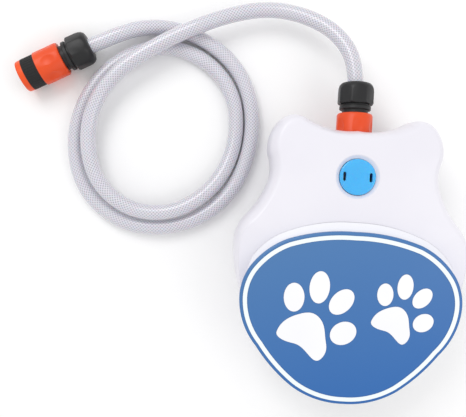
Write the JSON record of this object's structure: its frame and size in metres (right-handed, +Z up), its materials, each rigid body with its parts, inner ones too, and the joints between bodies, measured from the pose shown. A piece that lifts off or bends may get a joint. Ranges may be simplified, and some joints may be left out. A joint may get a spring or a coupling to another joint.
{
  "type": "handheld bath sprayer",
  "caption": "Mitt-like pet bath sprayer with a hand pocket, soft teeth, push-button valve, hose and quick connectors.",
  "frame": {"origin": "on the floor under the middle of the object (body and near connector), the hose and far connector left out", "axes": "+Z up, +Y towards the hose connector, X across; the hand goes in from the -Y end"},
  "size_m": [0.4575, 0.3917, 0.0869],
  "materials": {
    "shell_white": "satin gloss",
    "frame_white": "satin gloss",
    "cover_blue": "satin",
    "ring_white": "satin",
    "paw_white": "satin",
    "steel": "plain",
    "tray_grey": "matt",
    "seal_rubber": "matt",
    "pad_silicone": "matt, soft",
    "inner_tube": "matt",
    "valve_plastic": "matt",
    "button_blue": "gloss, slightly translucent",
    "connector_black": "satin",
    "hose_clear": "clear with a white and grey braid",
    "connector_orange": "satin gloss",
    "band_rubber": "matt, ridged",
    "nut_black": "satin"
  },
  "bodies": {
    "body": {"bottom_shell": "shell_white", "top_shell": "shell_white", "cover_frame": "frame_white", "hand_cover": "cover_blue", "cover_ring": "ring_white", "large_paw": "paw_white", "small_paw": "paw_white", "cover_screws": "steel", "shell_screws": "steel", "palm_tray": "tray_grey", "chamber_lid": "tray_grey", "chamber_gasket": "seal_rubber", "nozzle_plate": "tray_grey", "lid_screws": "steel", "scrub_pad": "pad_silicone", "pad_retainer": "shell_white", "outlet_tube": "inner_tube", "tube_clips": "steel", "valve_body": "valve_plastic", "valve_cap": "valve_plastic", "button_spring": "steel", "inlet_nipple": "connector_black", "nipple_seal": "seal_rubber", "hose": "hose_clear", "near_core": "connector_black", "near_claws": "connector_black", "near_seal": "seal_rubber", "near_collet": "connector_black", "near_nut": "nut_black", "far_core": "connector_black", "far_claws": "connector_black", "far_seal": "seal_rubber", "far_collet": "connector_black", "far_nut": "nut_black"},
    "button": {"button_cap": "button_blue", "valve_stem": "valve_plastic", "stem_seals": "seal_rubber"},
    "near_slider": {"near_sleeve": "connector_orange", "near_grip_band": "band_rubber"},
    "far_slider": {"far_sleeve": "connector_orange", "far_grip_band": "band_rubber"}
  },
  "joints": [
    {"name": "button_press", "type": "slide", "parent": "body", "child": "button", "axis": [0, 0, -1], "range_m": [0, 0.004], "stiffness_N_per_m": 800, "springref_m": -0.003, "deforming": ["button_spring"]},
    {"name": "near_sleeve_slide", "type": "slide", "parent": "body", "child": "near_slider", "axis": [0, 1, 0], "range_m": [0, 0.0035], "stiffness_N_per_m": 900, "springref_m": -0.004},
    {"name": "far_sleeve_slide", "type": "slide", "parent": "body", "child": "far_slider", "axis": [0.8825, 0.4702, 0], "range_m": [0, 0.0035], "stiffness_N_per_m": 900, "springref_m": -0.004}
  ]
}
